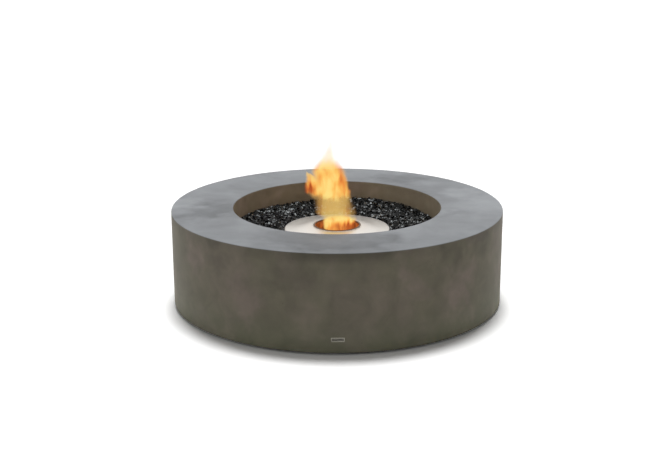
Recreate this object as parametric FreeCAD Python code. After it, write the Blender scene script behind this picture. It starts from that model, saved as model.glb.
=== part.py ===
import FreeCAD, Part
import math
import os

# A round fire table in cast concrete, with a lift-out glass tray and a lift-out liquid fuel burner.
# Millimetres. The origin is the centre of the footprint on the floor, +Z is up and the front is -Y.

# Table body
TABLE_RADIUS = 500.0
TABLE_HEIGHT = 288.0
FLOOR_GAP = 6.0
BOWL_RADIUS = 314.5
WALL = 20.0
TOP_THICKNESS = 20.0
BOWL_WALL = 18.0
CAST_DRAFT = 5.0
LEDGE_DEPTH = 110.0
LEDGE_THICKNESS = 18.0
LEDGE_HOLE_RADIUS = 166.0
EDGE_ROUND = 2.5

# Levelling feet and the pillars that carry them
FOOT_COUNT = 4
FOOT_CIRCLE = 425.0
FIRST_FOOT_ANGLE = 45.0
FOOT_RADIUS = 26.0
SOLE_HEIGHT = 4.0
FOOT_TOP = 15.0
HEAD_RADIUS = 8.0
HEAD_TOP = 10.0
THREAD_RADIUS = 5.0
SCREW_TOP = 62.0
HEX_ACROSS_FLATS = 17.0
RUNNING_CLEARANCE = 0.05
PILLAR_BOTTOM = 28.0
SOCKET_RADIUS = 11.0
SOCKET_FLANGE = 2.0
SOCKET_HEIGHT = 46.0
SOCKET_BORE_DEPTH = 42.0

# Tray for the glass, and the well that the burner hangs in
PAD_THICKNESS = 3.0
SHEET = 2.0
TRAY_RADIUS = 311.0
TRAY_RIM_HEIGHT = 32.0
WELL_RADIUS = 154.0
WELL_BOTTOM = 80.0
SEAT_RADIUS = 161.0
SEAT_HEIGHT = 211.0

# Burner
PLATE_RADIUS = 160.0
PLATE_EDGE_HEIGHT = 217.0
PLATE_CROWN = 8.0
MOUTH_RADIUS = 67.0
SKIN = 1.5
TANK_RADIUS = 140.0
TANK_BOTTOM = 96.0
JACKET_RADIUS = 148.0
JACKET_BOTTOM = 86.0
COLLAR_GAP = 2.0
RING_BOTTOM = 184.0
RING_HOLES = 20
RING_HOLE_ROWS = 2
RING_HOLE_RADIUS = 3.0
RING_ROW_PITCH = 9.0

# Crushed glass
GLASS_LEVEL = 218.0
GLASS_CROWN = 10.0
GLASS_MOUND = 11.0
MOUND_ANGLE = 68.0
RIM_COVER = 1.5
GLASS_LUMP = 6.0
GLASS_RINGS = 12
GLASS_SECTORS = 108

# Heights that follow from the dimensions above
SHELL_TOP_UNDERSIDE = TABLE_HEIGHT - TOP_THICKNESS
LEDGE_TOP = TABLE_HEIGHT - LEDGE_DEPTH
TRAY_FLOOR = LEDGE_TOP + PAD_THICKNESS
GLASS_BOTTOM = TRAY_FLOOR + SHEET
TRAY_RIM_TOP = TRAY_FLOOR + TRAY_RIM_HEIGHT
PLATE_UNDERSIDE = PLATE_EDGE_HEIGHT - SHEET
CROWN_TOP = PLATE_EDGE_HEIGHT + PLATE_CROWN
COLLAR_TOP = CROWN_TOP + SKIN

Z = FreeCAD.Vector(0, 0, 1)
ORIGIN = FreeCAD.Vector(0, 0, 0)
SAME_PLACE = 1e-6


def section(corners):
    """A closed face in the XZ plane. Each corner is (radius, height, rounding)."""
    points = [FreeCAD.Vector(radius, 0, height) for radius, height, _ in corners]
    count = len(points)
    edges = []
    stretches = []
    for i, corner in enumerate(points):
        rounding = corners[i][2]
        if not rounding:
            stretches.append((corner, corner))
            continue
        back = (points[i - 1] - corner).normalize()
        ahead = (points[(i + 1) % count] - corner).normalize()
        half_angle = back.getAngle(ahead) / 2
        start = corner + back * (rounding / math.tan(half_angle))
        end = corner + ahead * (rounding / math.tan(half_angle))
        inward = (back + ahead).normalize()
        middle = corner + inward * (rounding / math.sin(half_angle) - rounding)
        edges.append(Part.Arc(start, middle, end).toShape())
        stretches.append((start, end))
    for i, (_, end) in enumerate(stretches):
        start = stretches[(i + 1) % count][0]
        if end.distanceToPoint(start) > SAME_PLACE:
            edges.append(Part.makeLine(end, start))
    return Part.Face(Part.Wire(Part.__sortEdges__(edges)))


def turned(corners):
    """A solid of revolution about the table's axis."""
    return section(corners).revolve(ORIGIN, Z, 360)


def at_angle(shape, degrees):
    """A copy of a shape, turned about the table's axis."""
    copy = shape.copy()
    copy.rotate(ORIGIN, Z, degrees)
    return copy


def round_pattern(shape, count, first_angle=0.0):
    """Copies of a shape, evenly spaced about the table's axis."""
    return [at_angle(shape, first_angle + 360.0 * i / count) for i in range(count)]


def disc(radius, height, bottom, distance=0.0):
    """An upright cylinder whose axis is at a distance from the table's axis."""
    return Part.makeCylinder(radius, height, FreeCAD.Vector(distance, 0, bottom), Z)


def moved_out(shape, distance):
    """A turned solid, moved from the table's axis to a distance along X."""
    copy = shape.copy()
    copy.translate(FreeCAD.Vector(distance, 0, 0))
    return copy


# Table body


def pillar_outline(centre, depth, width, height, rounding):
    """A rectangle with round corners, at a height, with its depth along X."""
    thickness = 1.0
    plate = Part.makeBox(depth, width, thickness, FreeCAD.Vector(centre - depth / 2, -width / 2, height))
    upright = [e for e in plate.Edges if abs(e.Vertexes[0].Z - e.Vertexes[1].Z) > thickness / 2]
    rounded = plate.makeFillet(rounding, upright)
    lowest = min(rounded.Faces, key=lambda face: face.CenterOfMass.z)
    return lowest.OuterWire


def foot_pillar():
    """One tapered pillar that carries a levelling foot, grown out of the outer wall."""
    root_height = SHELL_TOP_UNDERSIDE + 0.4 * TOP_THICKNESS
    foot = pillar_outline(centre=438.0, depth=92.0, width=62.0, height=PILLAR_BOTTOM, rounding=9.0)
    root = pillar_outline(centre=428.0, depth=108.0, width=92.0, height=root_height, rounding=14.0)
    return Part.makeLoft([foot, root], True)


def socket_outside():
    """The outside of a cast-in threaded insert: a flange, and two grooves that the concrete fills."""
    bottom = PILLAR_BOTTOM - SOCKET_FLANGE
    top = bottom + SOCKET_HEIGHT
    flange_radius = SOCKET_RADIUS + 4.0
    groove_radius = SOCKET_RADIUS - 1.5
    groove_width = 4.0
    bevel = 2.0
    corners = [
        (0, bottom, 0),
        (flange_radius, bottom, 0.5),
        (flange_radius, PILLAR_BOTTOM, 0),
        (SOCKET_RADIUS, PILLAR_BOTTOM, 0),
    ]
    for groove_bottom in (bottom + 0.3 * SOCKET_HEIGHT, bottom + 0.6 * SOCKET_HEIGHT):
        groove_top = groove_bottom + groove_width
        corners += [
            (SOCKET_RADIUS, groove_bottom - bevel, 0),
            (groove_radius, groove_bottom, 0),
            (groove_radius, groove_top, 0),
            (SOCKET_RADIUS, groove_top + bevel, 0),
        ]
    return turned(corners + [(SOCKET_RADIUS, top, 1.0), (0, top, 0)])


def concrete_shell():
    """The casting: outer wall, ring top, bowl wall and inner ledge, open and drafted underneath."""
    bowl_outside = BOWL_RADIUS + BOWL_WALL
    shell = turned([
        (TABLE_RADIUS, FLOOR_GAP, EDGE_ROUND),
        (TABLE_RADIUS, TABLE_HEIGHT, EDGE_ROUND),
        (BOWL_RADIUS, TABLE_HEIGHT, EDGE_ROUND),
        (BOWL_RADIUS, LEDGE_TOP, 8.0),
        (LEDGE_HOLE_RADIUS, LEDGE_TOP, EDGE_ROUND),
        (LEDGE_HOLE_RADIUS, LEDGE_TOP - LEDGE_THICKNESS, EDGE_ROUND),
        (bowl_outside, LEDGE_TOP - LEDGE_THICKNESS, 12.0),
        (bowl_outside + CAST_DRAFT, SHELL_TOP_UNDERSIDE, 14.0),
        (TABLE_RADIUS - WALL - CAST_DRAFT, SHELL_TOP_UNDERSIDE, 16.0),
        (TABLE_RADIUS - WALL, FLOOR_GAP, EDGE_ROUND),
    ])
    shell = shell.fuse(round_pattern(foot_pillar(), FOOT_COUNT, FIRST_FOOT_ANGLE))
    insert = moved_out(socket_outside(), FOOT_CIRCLE)
    return shell.cut(Part.makeCompound(round_pattern(insert, FOOT_COUNT, FIRST_FOOT_ANGLE)))


def foot_sockets():
    """The threaded inserts, one in each pillar."""
    bore = disc(THREAD_RADIUS + RUNNING_CLEARANCE, SOCKET_BORE_DEPTH, PILLAR_BOTTOM - SOCKET_FLANGE)
    socket = moved_out(socket_outside().cut(bore), FOOT_CIRCLE)
    return Part.makeCompound(round_pattern(socket, FOOT_COUNT, FIRST_FOOT_ANGLE))


def ledge_pads():
    """Heat-resistant pads in two rings, which keep the hot tray off the concrete ledge."""
    outer_pad = disc(12.0, PAD_THICKNESS, LEDGE_TOP, distance=TRAY_RADIUS - 23.0)
    inner_pad = disc(9.0, PAD_THICKNESS, LEDGE_TOP, distance=LEDGE_HOLE_RADIUS + 20.0)
    return Part.makeCompound(round_pattern(outer_pad, 6) + round_pattern(inner_pad, 6, first_angle=30.0))


# Levelling feet, each made on the table's axis and moved out to its place


def foot_sole():
    """The rubber sole, with a hollowed underside that grips by its outer ring."""
    hollow = 1.2
    grip_inside = FOOT_RADIUS - 8.0
    return turned([
        (0, hollow, 0),
        (grip_inside - 2.0, hollow, 0.5),
        (grip_inside, 0, 0.4),
        (FOOT_RADIUS, 0, 0.8),
        (FOOT_RADIUS - 1.0, SOLE_HEIGHT, 0),
        (0, SOLE_HEIGHT, 0),
    ])


def foot_base():
    """The steel foot: a dished disc whose neck holds the screw's head from above."""
    pocket = HEAD_RADIUS + RUNNING_CLEARANCE
    neck = THREAD_RADIUS + RUNNING_CLEARANCE
    pocket_top = HEAD_TOP + RUNNING_CLEARANCE
    rim = FOOT_RADIUS - 1.0
    rim_height = 2.5
    neck_outside = 12.0
    return turned([
        (pocket, SOLE_HEIGHT, 0),
        (rim, SOLE_HEIGHT, 0),
        (rim, SOLE_HEIGHT + rim_height, 1.0),
        (neck_outside + 2.0, HEAD_TOP, 5.0),
        (neck_outside, FOOT_TOP, 1.0),
        (neck, FOOT_TOP, 0),
        (neck, pocket_top, 0),
        (pocket, pocket_top, 0),
    ])


def foot_screw():
    """The screw: a round head inside the foot, a hex collar for the spanner and a threaded stem."""
    hex_bottom = FOOT_TOP + 1.0
    hex_top = PILLAR_BOTTOM - SOCKET_FLANGE - 0.5
    head_bottom = SOLE_HEIGHT + 0.3
    stem = turned([
        (0, head_bottom, 0),
        (HEAD_RADIUS, head_bottom, 0.5),
        (HEAD_RADIUS, HEAD_TOP, 0),
        (THREAD_RADIUS, HEAD_TOP, 0),
        (THREAD_RADIUS, SCREW_TOP, 1.0),
        (0, SCREW_TOP, 0),
    ])
    corner = HEX_ACROSS_FLATS / math.sqrt(3)
    points = [
        FreeCAD.Vector(corner * math.cos(math.pi * i / 3), corner * math.sin(math.pi * i / 3), hex_bottom)
        for i in range(7)
    ]
    prism = Part.Face(Part.makePolygon(points)).extrude(Z * (hex_top - hex_bottom))
    flat_end = corner - 1.2
    past_corner = corner + 0.2
    chamfer_height = 0.9
    chamfer = turned([
        (0, hex_bottom, 0),
        (flat_end, hex_bottom, 0),
        (past_corner, hex_bottom + chamfer_height, 0),
        (past_corner, hex_top - chamfer_height, 0),
        (flat_end, hex_top, 0),
        (0, hex_top, 0),
    ])
    return stem.fuse(prism.common(chamfer)).removeSplitter()


# Tray


def tray_pan():
    """The annular pan: a beaded outer rim, a flat floor and an upstand hemmed inward as a seat."""
    seat_inner = WELL_RADIUS - SHEET
    bead_outside = TRAY_RADIUS + 1.0
    bead_inside = TRAY_RADIUS - SHEET - 1.0
    bead_bottom = TRAY_RIM_TOP - 4.0
    return turned([
        (TRAY_RADIUS, TRAY_FLOOR, 4.0),
        (TRAY_RADIUS, bead_bottom, 0),
        (bead_outside, bead_bottom, 0.8),
        (bead_outside, TRAY_RIM_TOP, 1.5),
        (bead_inside, TRAY_RIM_TOP, 1.5),
        (bead_inside, bead_bottom, 0.8),
        (TRAY_RADIUS - SHEET, bead_bottom, 0),
        (TRAY_RADIUS - SHEET, GLASS_BOTTOM, 2.0),
        (SEAT_RADIUS, GLASS_BOTTOM, 0),
        (SEAT_RADIUS, SEAT_HEIGHT, 2.5),
        (seat_inner, SEAT_HEIGHT, 0),
        (seat_inner, SEAT_HEIGHT - SHEET, 0),
        (SEAT_RADIUS - SHEET, SEAT_HEIGHT - SHEET, 0),
        (SEAT_RADIUS - SHEET, TRAY_FLOOR, 2.0),
    ])


def tray_well():
    """The cup that the burner hangs in, with drain holes, spot-welded under the seat by its flange."""
    flange_top = SEAT_HEIGHT - SHEET
    flange_radius = SEAT_RADIUS - SHEET - 0.5
    inside = WELL_RADIUS - SHEET
    cup = turned([
        (0, WELL_BOTTOM, 0),
        (WELL_RADIUS, WELL_BOTTOM, 8.0),
        (WELL_RADIUS, flange_top - SHEET, 0),
        (flange_radius, flange_top - SHEET, 0),
        (flange_radius, flange_top, 0),
        (inside, flange_top, 0),
        (inside, WELL_BOTTOM + SHEET, 6.0),
        (0, WELL_BOTTOM + SHEET, 0),
    ])
    drain = disc(4.0, 4.0 * SHEET, WELL_BOTTOM - SHEET, distance=118.0)
    return cup.cut(Part.makeCompound(round_pattern(drain, 6)))


def scatter(ring, sector, salt):
    """A fixed number from -1 to 1 that looks random from one lump of glass to the next."""
    return 2 * (math.sin(12.9898 * (ring + 1) + 78.233 * sector + 37.719 * salt) * 43758.5453 % 1.0) - 1


def glass_height(ring, sector):
    """The height of one point of the glass bed: lowest by the burner, with a mound by the wall at the back
    right. Every second point is the top of a lump, and the others are the gaps between lumps."""
    across = ring / GLASS_RINGS
    crest = 0.55
    fall = GLASS_CROWN * (across - crest) ** 2
    off_mound = math.radians(360.0 * sector / GLASS_SECTORS - MOUND_ANGLE)
    mound = GLASS_MOUND * across * max(0.0, math.cos(off_mound)) ** 5
    lump = GLASS_LUMP * (0.45 if (ring + sector) % 2 else -0.55)
    height = GLASS_LEVEL - fall + mound + lump + 0.5 * GLASS_LUMP * scatter(ring, sector, 0)
    if ring >= GLASS_RINGS - 1:
        return max(height, TRAY_RIM_TOP + RIM_COVER)
    return height


def glass_point(ring, sector, inner, outer):
    """One point on the top of the glass bed. Points between the edges are scattered sideways."""
    most = 0.0 if ring in (0, GLASS_RINGS) else 0.3
    radius = inner + (outer - inner) * (ring + most * scatter(ring, sector, 1)) / GLASS_RINGS
    angle = 2 * math.pi * (sector + most * scatter(ring, sector, 2)) / GLASS_SECTORS
    return FreeCAD.Vector(radius * math.cos(angle), radius * math.sin(angle), glass_height(ring, sector))


def glass_loop(radius, height):
    """The corners of the bed's outline at a radius and a height."""
    turns = [2 * math.pi * i / GLASS_SECTORS for i in range(GLASS_SECTORS)]
    return [FreeCAD.Vector(radius * math.cos(t), radius * math.sin(t), height) for t in turns]


def flat_face(*corners):
    """A flat face through its corners, in order."""
    return Part.Face(Part.makePolygon(list(corners) + [corners[0]]))


def glass_bed():
    """The crushed glass as one closed bed round the burner, its top a field of broken facets."""
    side_gap = 0.4
    inner = (SEAT_RADIUS + side_gap) / math.cos(math.pi / GLASS_SECTORS)
    in_tray = TRAY_RADIUS - 2 * SHEET - side_gap
    over_rim = TRAY_RIM_TOP + side_gap
    outer = BOWL_RADIUS - 1.5
    top = [
        [glass_point(ring, sector, inner, outer) for sector in range(GLASS_SECTORS)]
        for ring in range(GLASS_RINGS + 1)
    ]
    faces = []
    for ring in range(GLASS_RINGS):
        for sector in range(GLASS_SECTORS):
            after = (sector + 1) % GLASS_SECTORS
            near, near_after = top[ring][sector], top[ring][after]
            far, far_after = top[ring + 1][sector], top[ring + 1][after]
            if (ring + sector) % 2:
                faces.append(flat_face(near, far, far_after))
                faces.append(flat_face(near, far_after, near_after))
            else:
                faces.append(flat_face(near, far, near_after))
                faces.append(flat_face(far, far_after, near_after))
    floor_outside, floor_inside = glass_loop(in_tray, GLASS_BOTTOM), glass_loop(inner, GLASS_BOTTOM)
    outer_side = [floor_outside, glass_loop(in_tray, over_rim), glass_loop(outer, over_rim), top[-1]]
    inner_side = [floor_inside, top[0]]
    for loops in (outer_side, inner_side):
        for low, high in zip(loops, loops[1:]):
            for i in range(GLASS_SECTORS):
                after = (i + 1) % GLASS_SECTORS
                faces.append(flat_face(low[i], low[after], high[after], high[i]))
    floors = [Part.Face(Part.makePolygon(loop + [loop[0]])) for loop in (floor_outside, floor_inside)]
    faces.append(floors[0].cut(floors[1]).Faces[0])
    bed = Part.makeSolid(Part.makeShell(faces))
    if bed.Volume < 0:
        bed.reverse()
    return bed


# Burner


def burner_top_plate():
    """The spun plate: a turned-down edge, a flat seat and a crown that rises to the mouth."""
    hole = MOUTH_RADIUS + COLLAR_GAP + SKIN
    crown_foot = TANK_RADIUS - 12.0
    crown_bend = 150.0
    edge_bottom = SEAT_HEIGHT + 0.5
    return turned([
        (hole, CROWN_TOP, 0),
        (crown_foot, PLATE_EDGE_HEIGHT, crown_bend),
        (PLATE_RADIUS, PLATE_EDGE_HEIGHT, 1.8),
        (PLATE_RADIUS, edge_bottom, 0),
        (PLATE_RADIUS - SKIN, edge_bottom, 0),
        (PLATE_RADIUS - SKIN, PLATE_UNDERSIDE, 0.8),
        (crown_foot, PLATE_UNDERSIDE, crown_bend + SHEET),
        (hole, CROWN_TOP - SHEET, 0),
    ])


def burner_mouth_collar():
    """The tube welded into the plate's hole, with a rounded lip that laps over the plate."""
    inside = MOUTH_RADIUS + COLLAR_GAP
    outside = inside + SKIN
    lip_radius = outside + 3.5
    tube_bottom = CROWN_TOP - 15.0
    return turned([
        (inside, tube_bottom, 0),
        (outside, tube_bottom, 0),
        (outside, CROWN_TOP, 0),
        (lip_radius, CROWN_TOP, 0),
        (lip_radius, COLLAR_TOP, 1.0),
        (inside, COLLAR_TOP, 1.0),
    ])


def efficiency_ring():
    """The lift-out ring that narrows the mouth: a flange on the collar's lip and two rows of holes."""
    outside = MOUTH_RADIUS + SKIN
    flange_radius = outside + 4.0
    flange_top = COLLAR_TOP + SKIN
    ring = turned([
        (MOUTH_RADIUS, RING_BOTTOM, 0),
        (outside, RING_BOTTOM, 0),
        (outside, COLLAR_TOP, 0),
        (flange_radius, COLLAR_TOP, 0),
        (flange_radius, flange_top, 1.0),
        (MOUTH_RADIUS, flange_top, 1.2),
    ])
    holes = []
    for row in range(RING_HOLE_ROWS):
        start = FreeCAD.Vector(MOUTH_RADIUS - 2 * SKIN, 0, RING_BOTTOM + 7.0 + RING_ROW_PITCH * row)
        hole = Part.makeCylinder(RING_HOLE_RADIUS, 5 * SKIN, start, FreeCAD.Vector(1, 0, 0))
        holes += round_pattern(hole, RING_HOLES, first_angle=180.0 / RING_HOLES * row)
    return ring.cut(Part.makeCompound(holes))


def burner_tank():
    """The fuel tank: a drawn cup, closed above by the top plate."""
    bend = 10.0
    return turned([
        (0, TANK_BOTTOM, 0),
        (TANK_RADIUS, TANK_BOTTOM, bend),
        (TANK_RADIUS, PLATE_UNDERSIDE, 0),
        (TANK_RADIUS - SKIN, PLATE_UNDERSIDE, 0),
        (TANK_RADIUS - SKIN, TANK_BOTTOM + SKIN, bend - SKIN),
        (0, TANK_BOTTOM + SKIN, 0),
    ])


def burner_jacket():
    """The outer skin that catches spills, hung from the plate's flat rim by its own flange."""
    bend = 10.0
    inside = JACKET_RADIUS - SKIN
    flange_radius = PLATE_RADIUS - SKIN - 1.0
    return turned([
        (0, JACKET_BOTTOM, 0),
        (JACKET_RADIUS, JACKET_BOTTOM, bend),
        (JACKET_RADIUS, PLATE_UNDERSIDE - SKIN, 1.0),
        (flange_radius, PLATE_UNDERSIDE - SKIN, 0),
        (flange_radius, PLATE_UNDERSIDE, 0),
        (inside, PLATE_UNDERSIDE, 1.0 + SKIN),
        (inside, JACKET_BOTTOM + SKIN, bend - SKIN),
        (0, JACKET_BOTTOM + SKIN, 0),
    ])


def burner_spacers():
    """The lugs that hold the tank off the jacket."""
    bottom = JACKET_BOTTOM + SKIN
    lug = disc(9.0, TANK_BOTTOM - bottom, bottom, distance=92.0)
    return Part.makeCompound(round_pattern(lug, 4, first_angle=45.0))


def burner_gasket():
    """The heat-resistant ring between the jacket's flange and the tray's seat."""
    inside = WELL_RADIUS - 1.0
    outside = PLATE_RADIUS - 2 * SKIN
    top = PLATE_UNDERSIDE - SKIN
    return turned([
        (inside, SEAT_HEIGHT, 0),
        (outside, SEAT_HEIGHT, 0),
        (outside, top, 0),
        (inside, top, 0),
    ])


def all_nodes():
    """Every sub-part, by its node's name."""
    nodes = {
        "concrete_shell": concrete_shell(),
        "foot_sockets": foot_sockets(),
        "ledge_pads": ledge_pads(),
        "tray_pan": tray_pan(),
        "tray_well": tray_well(),
        "glass_bed": glass_bed(),
        "burner_top_plate": burner_top_plate(),
        "burner_mouth_collar": burner_mouth_collar(),
        "burner_tank": burner_tank(),
        "burner_jacket": burner_jacket(),
        "burner_spacers": burner_spacers(),
        "burner_gasket": burner_gasket(),
        "efficiency_ring": efficiency_ring(),
    }
    makers = {"base": foot_base, "sole": foot_sole, "screw": foot_screw}
    for kind, make in makers.items():
        foot = moved_out(make(), FOOT_CIRCLE)
        for number, placed in enumerate(round_pattern(foot, FOOT_COUNT, FIRST_FOOT_ANGLE), start=1):
            nodes[f"foot_{number}_{kind}"] = placed
    return nodes


def main():
    os.makedirs("parts", exist_ok=True)
    for name, shape in all_nodes().items():
        shape.exportStep(f"parts/{name}.step")


main()
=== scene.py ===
import math
import random

import bmesh
import bpy
from bpy.props import FloatProperty, FloatVectorProperty, IntProperty, PointerProperty
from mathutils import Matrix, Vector


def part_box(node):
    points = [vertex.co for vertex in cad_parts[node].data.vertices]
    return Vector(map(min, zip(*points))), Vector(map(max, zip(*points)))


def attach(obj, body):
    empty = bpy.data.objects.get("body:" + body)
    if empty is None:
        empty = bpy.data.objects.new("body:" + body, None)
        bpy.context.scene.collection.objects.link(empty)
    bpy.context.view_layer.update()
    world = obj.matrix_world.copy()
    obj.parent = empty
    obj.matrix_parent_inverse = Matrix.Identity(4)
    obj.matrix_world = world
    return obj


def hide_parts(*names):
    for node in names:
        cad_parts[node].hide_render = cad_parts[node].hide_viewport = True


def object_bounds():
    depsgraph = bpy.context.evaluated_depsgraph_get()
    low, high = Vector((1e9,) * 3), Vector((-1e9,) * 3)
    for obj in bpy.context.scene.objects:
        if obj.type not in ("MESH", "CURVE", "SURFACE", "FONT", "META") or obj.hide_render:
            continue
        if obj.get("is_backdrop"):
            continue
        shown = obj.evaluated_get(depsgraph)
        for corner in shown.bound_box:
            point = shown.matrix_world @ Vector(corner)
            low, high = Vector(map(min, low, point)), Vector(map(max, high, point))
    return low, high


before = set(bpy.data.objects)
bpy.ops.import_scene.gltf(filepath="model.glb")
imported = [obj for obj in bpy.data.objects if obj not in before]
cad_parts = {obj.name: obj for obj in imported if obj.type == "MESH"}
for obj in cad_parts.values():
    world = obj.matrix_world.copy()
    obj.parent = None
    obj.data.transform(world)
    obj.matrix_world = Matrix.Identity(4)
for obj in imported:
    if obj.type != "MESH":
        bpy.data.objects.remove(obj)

bl_info = {
    "name": "Round Concrete Fire Table",
    "version": (1, 0, 0),
    "blender": (4, 5, 0),
    "location": "View3D > Sidebar > Fire Table",
    "description": "Builds the looks of a round concrete fire table round its packed model",
    "category": "Add Mesh",
}

CAD_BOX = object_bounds()
SHELL_LOW, SHELL_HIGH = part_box("concrete_shell")
PLATE_LOW, PLATE_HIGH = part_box("burner_top_plate")
COLLAR_LOW, COLLAR_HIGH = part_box("burner_mouth_collar")
RING_LOW, RING_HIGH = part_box("efficiency_ring")
GLASS_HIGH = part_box("glass_bed")[1]
FOOT_LOW, FOOT_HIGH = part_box("foot_1_base")

TOP = SHELL_HIGH.z
WALL_FOOT = SHELL_LOW.z

# Two places closer than this, in metres, count as one when edges and faces are picked
NEAR = 0.0002
# Faces that meet at less than this angle are shaded as one smooth surface
SMOOTH_BELOW = math.radians(32)

# Middle and reach, in metres, of the patches in the concrete: pink and dull ones on the wall,
# painted shade under its rim, and painted shade and painted sheen on the top
PINK_PATCHES = (
    ((-0.256, -0.430, 0.160), 0.080), ((-0.246, -0.435, 0.100), 0.055), ((0.335, -0.370, 0.160), 0.085),
    ((0.345, -0.362, 0.110), 0.060), ((0.197, -0.460, 0.245), 0.055), ((0.225, -0.446, 0.194), 0.050),
    ((0.375, -0.330, 0.185), 0.050), ((-0.400, -0.300, 0.200), 0.070),
)
DULL_PATCHES = (
    ((-0.125, -0.484, 0.225), 0.080), ((0.395, -0.306, 0.262), 0.075), ((-0.335, -0.371, 0.262), 0.070),
    ((0.310, -0.392, 0.262), 0.060),
)
RIM_SHADES = (((-0.050, -0.497, TOP), 0.190), ((0.080, -0.493, TOP), 0.140))
PAINTED_TOP_SHADE = (
    ((-0.350, -0.040, TOP), 0.130), ((-0.400, -0.110, TOP), 0.100), ((-0.100, -0.370, TOP), 0.150),
    ((0.020, -0.400, TOP), 0.170), ((0.080, -0.360, TOP), 0.110), ((0.218, 0.340, TOP), 0.120),
)
PAINTED_TOP_SHEEN = (
    ((0.330, -0.085, TOP), 0.055), ((0.391, 0.159, TOP), 0.090), ((0.480, 0.020, TOP), 0.180),
    ((-0.470, 0.030, TOP), 0.090),
)


# Settings


class ConcreteSettings(bpy.types.PropertyGroup):
    """Sizes and colours of the cast body"""

    outer_radius: FloatProperty(
        name="Outer radius", description="Radius of the straight outer wall",
        default=SHELL_HIGH.x, unit="LENGTH", precision=4)
    bowl_radius: FloatProperty(
        name="Bowl radius", description="Radius of the round opening in the top",
        default=0.3145, unit="LENGTH", precision=4)
    wall: FloatProperty(
        name="Wall", description="Thickness of the outer wall and of the top",
        default=0.020, unit="LENGTH", precision=4)
    bowl_wall: FloatProperty(
        name="Bowl wall", description="Thickness of the bowl wall and of its ledge",
        default=0.018, unit="LENGTH", precision=4)
    draft: FloatProperty(
        name="Draft", description="How far the hidden faces lean in from foot to top",
        default=0.005, unit="LENGTH", precision=4)
    ledge_depth: FloatProperty(
        name="Ledge depth", description="Depth of the inner ledge below the top",
        default=0.110, unit="LENGTH", precision=4)
    ledge_hole: FloatProperty(
        name="Ledge hole", description="Radius of the hole that the burner well passes through",
        default=0.166, unit="LENGTH", precision=4)
    edge_round: FloatProperty(
        name="Edge round", description="Rounding of the cast edges",
        default=0.0025, unit="LENGTH", precision=4)
    wall_colour: FloatVectorProperty(
        name="Wall colour", description="Olive brown of the standing faces",
        default=(0.180, 0.163, 0.116), subtype="COLOR", min=0, max=1)
    patch_colour: FloatVectorProperty(
        name="Patch colour", description="Pinkish brown of the cloudy patches",
        default=(0.236, 0.196, 0.158), subtype="COLOR", min=0, max=1)
    # The top's colour is the concrete with a painted cool sheen of the sky on it, lighter and greyer than
    # the wall
    top_colour_and_sheen: FloatVectorProperty(
        name="Top colour", description="Cool grey of the trowelled top",
        default=(0.246, 0.256, 0.268), subtype="COLOR", min=0, max=1)


class GlassSettings(bpy.types.PropertyGroup):
    """The crushed fire glass"""

    inner_radius: FloatProperty(
        name="Inner radius", description="Nearest that a lump comes to the table's axis",
        default=PLATE_HIGH.x + 0.0005, unit="LENGTH", precision=4)
    outer_radius: FloatProperty(
        name="Outer radius", description="Furthest that a lump reaches from the table's axis",
        default=GLASS_HIGH.x, unit="LENGTH", precision=4)
    lump: FloatProperty(
        name="Lump size", description="Mean width of one broken lump",
        default=0.0108, unit="LENGTH", precision=4)
    spacing: FloatProperty(
        name="Spacing", description="Mean distance between neighbouring lumps of the upper layer",
        default=0.0086, unit="LENGTH", precision=4)
    seed: IntProperty(name="Seed", description="Start of the scatter of the lumps", default=7)
    colour: FloatVectorProperty(
        name="Glass colour", description="Body colour of the glass",
        default=(0.006, 0.0065, 0.007), subtype="COLOR", min=0, max=1)
    mirror_colour: FloatVectorProperty(
        name="Mirror colour", description="Colour of the mirrored faces of some lumps",
        default=(0.27, 0.285, 0.29), subtype="COLOR", min=0, max=1)


class BurnerSettings(bpy.types.PropertyGroup):
    """The stainless burner"""

    mouth_radius: FloatProperty(
        name="Mouth radius", description="Radius of the open mouth inside the ring",
        default=0.067, unit="LENGTH", precision=4)
    skin: FloatProperty(
        name="Skin", description="Thickness of the sheet steel",
        default=0.0015, unit="LENGTH", precision=4)
    steel_colour: FloatVectorProperty(
        name="Steel colour", description="Satin stainless steel",
        default=(0.84, 0.80, 0.745), subtype="COLOR", min=0, max=1)
    rim_colour: FloatVectorProperty(
        name="Rim colour", description="Steel of the ring's rim, browned by the flame",
        default=(0.17, 0.10, 0.055), subtype="COLOR", min=0, max=1)


class BarePlateSettings(bpy.types.PropertyGroup):
    """The small bare metal plate low on the front"""

    width: FloatProperty(
        name="Width", description="Width of the plate",
        default=0.0365, unit="LENGTH", precision=4)
    height: FloatProperty(
        name="Height", description="Height of the plate",
        default=0.0118, unit="LENGTH", precision=4)
    centre_height: FloatProperty(
        name="Centre height", description="Height of the plate's centre over the floor",
        default=WALL_FOOT + 0.039, unit="LENGTH", precision=4)
    offset: FloatProperty(
        name="Offset", description="Distance of the plate's centre to the right of the front",
        default=0.0017, unit="LENGTH", precision=4)


class FlameSettings(bpy.types.PropertyGroup):
    """The flame, which is part of the stage and not of the table"""

    height: FloatProperty(
        name="Height", description="Height of the tip over the base of the flame",
        default=0.280, unit="LENGTH", precision=3)
    core_colour: FloatVectorProperty(
        name="Core colour", description="Pale yellow of the hottest streaks",
        default=(1.0, 0.75, 0.24), subtype="COLOR", min=0, max=1)
    body_colour: FloatVectorProperty(
        name="Body colour", description="Orange yellow of most of the flame",
        default=(1.0, 0.53, 0.115), subtype="COLOR", min=0, max=1)
    edge_colour: FloatVectorProperty(
        name="Edge colour", description="Orange towards the edges",
        default=(0.88, 0.28, 0.055), subtype="COLOR", min=0, max=1)
    rim_colour: FloatVectorProperty(
        name="Rim colour", description="Dark red brown of the coolest curls",
        default=(0.46, 0.09, 0.02), subtype="COLOR", min=0, max=1)
    low_colour: FloatVectorProperty(
        name="Low colour", description="Smoky tan of the thin column over the mouth",
        default=(0.67, 0.42, 0.13), subtype="COLOR", min=0, max=1)


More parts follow.
